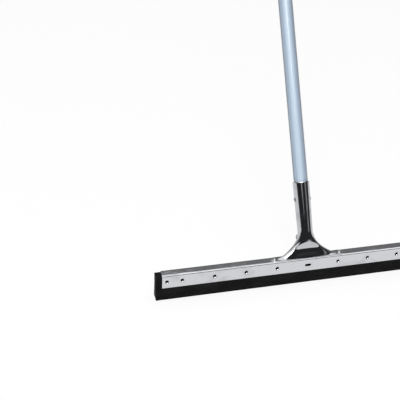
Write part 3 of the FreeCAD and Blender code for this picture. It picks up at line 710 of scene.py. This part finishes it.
def carry_over(node, material):
    """Gives a CAD node whose own shape is right its finish."""
    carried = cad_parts[node]
    carried.data.materials.clear()
    carried.data.materials.append(material)


carry_over("rivet_mandrels", broken_steel())


# ---------------------------------------------------------------------------------------------
# Handle. A thin-walled steel tube with a weld seam, inside a smooth sleeve of grey-blue plastic
# that is shrunk on and trimmed level with the tube's lower end.
# ---------------------------------------------------------------------------------------------

HANDLE_START = 0.058
HANDLE_LENGTH = 1.200
SLEEVE_RADIUS = HANDLE_RADIUS + SLEEVE_WALL


def tube_steel():
    """Mill-finished steel strip: grey scale with fine lines along the tube and some rust."""
    finish = Finish("tube_steel", Metallic=1.0)
    lines = finish.noise(finish.stretched(1500, 60, 60), 1, 3, 0.6)
    rust = finish.between(finish.noise(finish.place, 160, 5, 0.65), 0.55, 0.72)
    tone = finish.blend(lines, (0.24, 0.24, 0.25, 1), (0.42, 0.42, 0.43, 1))
    tone = finish.blend(rust * 0.7, tone, (0.13, 0.062, 0.03, 1))
    return finish.feed(Base_Color=tone, Roughness=0.34 + rust * 0.4,
                       Normal=finish.bump(lines, 0.00003))


carry_over("handle_tube", tube_steel())

trim = 0.00012
stations = np.concatenate([[0, trim, 3 * trim], np.linspace(0.002, HANDLE_LENGTH - 0.002, 121),
                           [HANDLE_LENGTH - 3 * trim, HANDLE_LENGTH - trim, HANDLE_LENGTH]])
sleeve_radius = np.full(len(stations), SLEEVE_RADIUS)
sleeve_radius[[0, -1]] -= trim
radius = np.concatenate([sleeve_radius, [HANDLE_RADIUS + 0.00002] * 2, sleeve_radius[:1]])
height = HANDLE_START + np.concatenate([stations, [HANDLE_LENGTH, 0], stations[:1]])
sleeve = skin("handle_sleeve_tube",
              [turned(radius, height, handle_foot, handle_axis, along_x, 72)], 40)


def sleeve_plastic():
    """Grey-blue plastic film, painted paler where it faces the view (a painted highlight) and darker
    edge on (painted shade): faint draw lines along the handle, slow drifts of tone where it was
    stretched, rubbed shine where hands hold it, and a few dark scuffs."""
    finish = Finish("blue_sleeve", IOR=1.5, Specular_IOR_Level=0.5, Coat_Roughness=0.12)
    along = finish.node("ShaderNodeMapping", {},
                        {"Vector": finish.place, "Rotation": (TILT, 0, 0)})
    parts = finish.node("ShaderNodeVectorMath", {"operation": "MULTIPLY"},
                        {0: along, 1: (1, 1, 0.03)})
    lines = finish.noise(parts, 900, 3, 0.6)
    drift = finish.noise(along, 9, 3, 0.5)
    rub = finish.between(finish.noise(along, 32, 4, 0.6), 0.45, 0.7)
    scuff = finish.noise(finish.node("ShaderNodeVectorMath", {"operation": "MULTIPLY"},
                                     {0: along, 1: (1, 1, 0.35)}), 150, 5, 0.7, 0.6)
    scuff = finish.between(scuff, 0.69, 0.76)
    tone = finish.blend(drift, (0.360, 0.445, 0.560, 1), (0.400, 0.490, 0.600, 1))
    tone = finish.blend(lines * 0.3, tone, (0.43, 0.52, 0.63, 1))
    facing_for_painted_light = finish.node("ShaderNodeLayerWeight", {}, {"Blend": 0.5}, "Facing")
    # Painted highlight: a pale blue where the surface faces the view.
    tone = finish.blend(finish.between(facing_for_painted_light, 0.03, 0.16, 0.8, 0), tone, (0.56, 0.68, 0.80, 1))
    # Painted shade: a dark blue where the surface turns edge on to the view.
    tone = finish.blend(finish.between(facing_for_painted_light, 0.16, 0.80), tone, (0.11, 0.14, 0.18, 1))
    tone = finish.blend(scuff * 0.45, tone, (0.16, 0.18, 0.21, 1))
    level = finish.bump(lines, 0.000012)
    level = finish.bump(drift, 0.0004, level)
    return finish.feed(Base_Color=tone, Roughness=0.30 + rub * 0.10 + scuff * 0.25,
                       Coat_Weight=0.30 - rub * 0.12, Normal=level)


wear(sleeve, sleeve_plastic(), "blue_sleeve", "handle_sleeve")


# ---------------------------------------------------------------------------------------------
# Hanging cap. Moulded plastic: a plug pushed into the tube's upper end, a collar that laps over
# the sleeve, and a flat eye to hang the squeegee by.
# ---------------------------------------------------------------------------------------------

CAP_PLUG_LENGTH = 0.028
CAP_PLUG_RADIUS = HANDLE_RADIUS - HANDLE_WALL - 0.00005
CAP_SKIRT_RADIUS = SLEEVE_RADIUS + 0.0001
CAP_COLLAR_RADIUS = 0.0136
CAP_LAP = 0.010
CAP_CROWN = 0.006
CAP_SHOULDER = 0.004
EYE_RADIUS = 0.0060
EYE_RIM = 0.0060
EYE_HALF_THICKNESS = 0.0040
EYE_RISE = 0.017

cap_base = handle_foot + handle_axis * (HANDLE_START + HANDLE_LENGTH)
soft = 0.0006
over = np.radians(np.linspace(0, 90, 7))
shoulder = np.radians(np.linspace(0, 90, 9))
radius = np.concatenate([
    [0, CAP_PLUG_RADIUS - soft, CAP_PLUG_RADIUS, CAP_PLUG_RADIUS, CAP_SKIRT_RADIUS,
     CAP_SKIRT_RADIUS],
    CAP_COLLAR_RADIUS - soft + soft * np.sin(over),
    CAP_COLLAR_RADIUS - CAP_SHOULDER + CAP_SHOULDER * np.cos(shoulder),
    [0],
])
height = np.concatenate([
    [-CAP_PLUG_LENGTH, -CAP_PLUG_LENGTH, soft - CAP_PLUG_LENGTH, 0, 0, -CAP_LAP],
    -CAP_LAP + soft * (1 - np.cos(over)),
    CAP_CROWN - CAP_SHOULDER + CAP_SHOULDER * np.sin(shoulder),
    [CAP_CROWN],
])
collar = turned(radius, height, cap_base, handle_axis, along_x, 64)

eye_centre = cap_base + handle_axis * EYE_RISE
cap_side = np.cross(handle_axis, along_x)
section = np.radians(np.linspace(0, 360, 33))
squared = 0.35
bulge_out = np.sign(np.cos(section)) * np.abs(np.cos(section)) ** squared * EYE_RIM / 2
bulge_side = np.sign(np.sin(section)) * np.abs(np.sin(section)) ** squared * EYE_HALF_THICKNESS
around = np.radians(np.linspace(0, 360, 73))[:, None]
ring_radius = EYE_RADIUS + EYE_RIM / 2 + bulge_out
eye_ring = (eye_centre + (ring_radius * np.cos(around))[..., None] * along_x
            + (ring_radius * np.sin(around))[..., None] * handle_axis
            + np.broadcast_to(bulge_side, (len(around), len(section)))[..., None] * cap_side)

climb = np.linspace(0, 1, 13)[:, None]
turn_round = np.radians(np.linspace(0, 360, 49))
wide = EYE_RADIUS + EYE_RIM - 0.0002
power = 0.55 - 0.15 * climb
neck_x = np.sign(np.cos(turn_round)) * np.abs(np.cos(turn_round)) ** power * wide
neck_y = np.sign(np.sin(turn_round)) * np.abs(np.sin(turn_round)) ** power
neck_y = neck_y * (EYE_HALF_THICKNESS - 0.0001 + 0.0016 * (1 - climb) ** 3)
hollow = EYE_RISE - np.sqrt(np.maximum((EYE_RADIUS + 0.0008) ** 2 - neck_x ** 2, 0)) - 0.0002
reach = np.where(np.abs(neck_x) < EYE_RADIUS + 0.0008, hollow, EYE_RISE)
rise = 0.003 + climb * (reach - 0.003)
eye_neck = (cap_base + neck_x[..., None] * along_x + neck_y[..., None] * cap_side
            + rise[..., None] * handle_axis)
closing = np.stack([eye_neck[-1], eye_neck[-1] * 1.0])
closing[1] -= ((closing[1] - cap_base) @ cap_side)[:, None] * cap_side
base_closing = np.stack([eye_neck[0], eye_neck[0] * 1.0])
base_closing[1] -= ((base_closing[1] - cap_base) @ cap_side)[:, None] * cap_side
cap = skin("hanging_cap_moulding", [collar, eye_ring, eye_neck, closing, base_closing], 45)


def moulded_plastic():
    """Grey moulded plastic, slightly darker than the sleeve: fine spark-eroded grain, a paler
    bloom, and scratches."""
    finish = Finish("cap_plastic", IOR=1.48, Specular_IOR_Level=0.45)
    grain = finish.noise(finish.place, 2600, 2, 0.5)
    bloom = finish.between(finish.noise(finish.place, 130, 4, 0.6), 0.4, 0.7)
    scratch = finish.between(finish.noise(finish.stretched(900, 90, 90), 1, 4, 0.7, 0.8), 0.66, 0.74)
    tone = finish.blend(bloom, (0.060, 0.075, 0.105, 1), (0.078, 0.095, 0.128, 1))
    tone = finish.blend(scratch * 0.5, tone, (0.16, 0.18, 0.22, 1))
    level = finish.bump(grain, 0.00004)
    return finish.feed(Base_Color=tone, Roughness=0.42 + bloom * 0.12, Normal=level)


wear(cap, moulded_plastic(), "cap_plastic", "hanging_cap")


# ---------------------------------------------------------------------------------------------
# Floor, surroundings, lamps and camera. A pale floor and a studio that is white low down all
# round and dark overhead, which is what the bright metal mirrors.
# ---------------------------------------------------------------------------------------------

FLOOR_HALF = 150.0
floor_x, floor_y = np.meshgrid(np.linspace(-FLOOR_HALF, FLOOR_HALF, 9),
                               np.linspace(-FLOOR_HALF, FLOOR_HALF, 9))
floor = skin("floor", [np.stack([floor_x, floor_y, np.zeros(floor_x.shape)], axis=-1)])
if floor.data.polygons[0].normal.z < 0:
    floor.data.flip_normals()
paint = Finish("floor_paint", Roughness=0.9, Specular_IOR_Level=0.0)
paint.shader.inputs["Base Color"].default_value = (0.90, 0.90, 0.90, 1)
ray = paint.tree.nodes.new("ShaderNodeLightPath")
seen = Wire(paint, ray.outputs["Is Camera Ray"]) + Wire(paint, ray.outputs["Is Glossy Ray"])
seen = seen + Wire(paint, ray.outputs["Is Transmission Ray"])
white = paint.node("ShaderNodeEmission", {}, {"Color": (1, 1, 1, 1), "Strength": 1.0})
mixed = paint.node("ShaderNodeMixShader", {}, {0: seen * 0.85, 1: Wire(paint, paint.shader.outputs[0]), 2: white})
paint.tree.links.new(mixed.socket, paint.tree.nodes["Material Output"].inputs["Surface"])
floor.data.materials.append(paint.material)

world = bpy.data.worlds.new("studio")
bpy.context.scene.world = world
world.use_nodes = True
sky = world.node_tree
direction = sky.nodes.new("ShaderNodeTexCoord")
parts = sky.nodes.new("ShaderNodeSeparateXYZ")
to_rear = sky.nodes.new("ShaderNodeMapRange")
to_rear.interpolation_type = "SMOOTHSTEP"
to_rear.inputs["From Min"].default_value = -0.15
to_rear.inputs["From Max"].default_value = 0.35
whole = sky.nodes.new("ShaderNodeMix")
whole.data_type = "RGBA"
FRONT_SKY = [(0.0, 1.00), (0.012, 0.60), (0.03, 0.035), (0.5, 0.03), (0.75, 0.12), (1.0, 0.35)]
REAR_SKY = [(0.0, 1.00), (0.03, 0.80), (0.16, 0.34), (0.5, 0.20), (0.75, 0.20), (1.0, 0.35)]
for stops, socket in ((FRONT_SKY, "A"), (REAR_SKY, "B")):
    ramp = sky.nodes.new("ShaderNodeValToRGB")
    while len(ramp.color_ramp.elements) < len(stops):
        ramp.color_ramp.elements.new(1)
    for element, (position, tone) in zip(ramp.color_ramp.elements, stops):
        element.position = position
        element.color = (tone, tone, tone * 1.02, 1)
    sky.links.new(parts.outputs["Z"], ramp.inputs[0])
    sky.links.new(ramp.outputs[0], whole.inputs[6 if socket == "A" else 7])
sky.links.new(direction.outputs["Generated"], parts.inputs[0])
sky.links.new(parts.outputs["Y"], to_rear.inputs["Value"])
sky.links.new(to_rear.outputs[0], whole.inputs[0])
sky.links.new(whole.outputs[2], sky.nodes["Background"].inputs["Color"])
sky.nodes["Background"].inputs["Strength"].default_value = 1.0


def soft_lamp(name, place, target, width, height, power):
    """A rectangular lamp turned towards a point."""
    light = bpy.data.lights.new(name, "AREA")
    light.shape = "RECTANGLE"
    light.size = width
    light.size_y = height
    light.energy = power
    lamp = bpy.data.objects.new(name, light)
    lamp.location = place
    lamp.rotation_mode = "QUATERNION"
    lamp.rotation_quaternion = (Vector(target) - Vector(place)).to_track_quat("-Z", "Y")
    bpy.context.scene.collection.objects.link(lamp)


soft_lamp("top_lamp", (-0.4, 0.3, 3.6), (0, 0.3, 0.3), 8.0, 8.0, 210)
soft_lamp("key_lamp", (-0.75, -2.0, 2.7), (0, 0.1, 0.3), 1.5, 1.5, 45)
soft_lamp("camera_panel", (-0.75, -2.6, 1.85), (0, 0.1, 0.3), 0.7, 0.8, 0.75)
soft_lamp("right_panel", (1.8, -2.0, 1.15), (0, 0.1, 0.2), 1.1, 0.7, 0.60)

CAMERA_PLACE = Vector((-0.48693, -1.05950, 0.89382))
CAMERA_TARGET = Vector((-0.17670, 0.09211, 0.13243))
CAMERA_ROLL = math.radians(-2.47)
camera_data = bpy.data.cameras.new("camera")
camera_data.lens = 72
camera_data.sensor_width = 36
camera = bpy.data.objects.new("camera", camera_data)
forward = (CAMERA_TARGET - CAMERA_PLACE).normalized()
level_right = forward.cross(Vector((0, 0, 1))).normalized()
level_down = forward.cross(level_right)
right = math.cos(CAMERA_ROLL) * level_right + math.sin(CAMERA_ROLL) * level_down
down = math.cos(CAMERA_ROLL) * level_down - math.sin(CAMERA_ROLL) * level_right
camera.matrix_world = Matrix.Translation(CAMERA_PLACE) @ Matrix((right, -down, -forward)).transposed().to_4x4()
bpy.context.scene.collection.objects.link(camera)
bpy.context.scene.camera = camera
bpy.context.scene.view_settings.view_transform = "Standard"
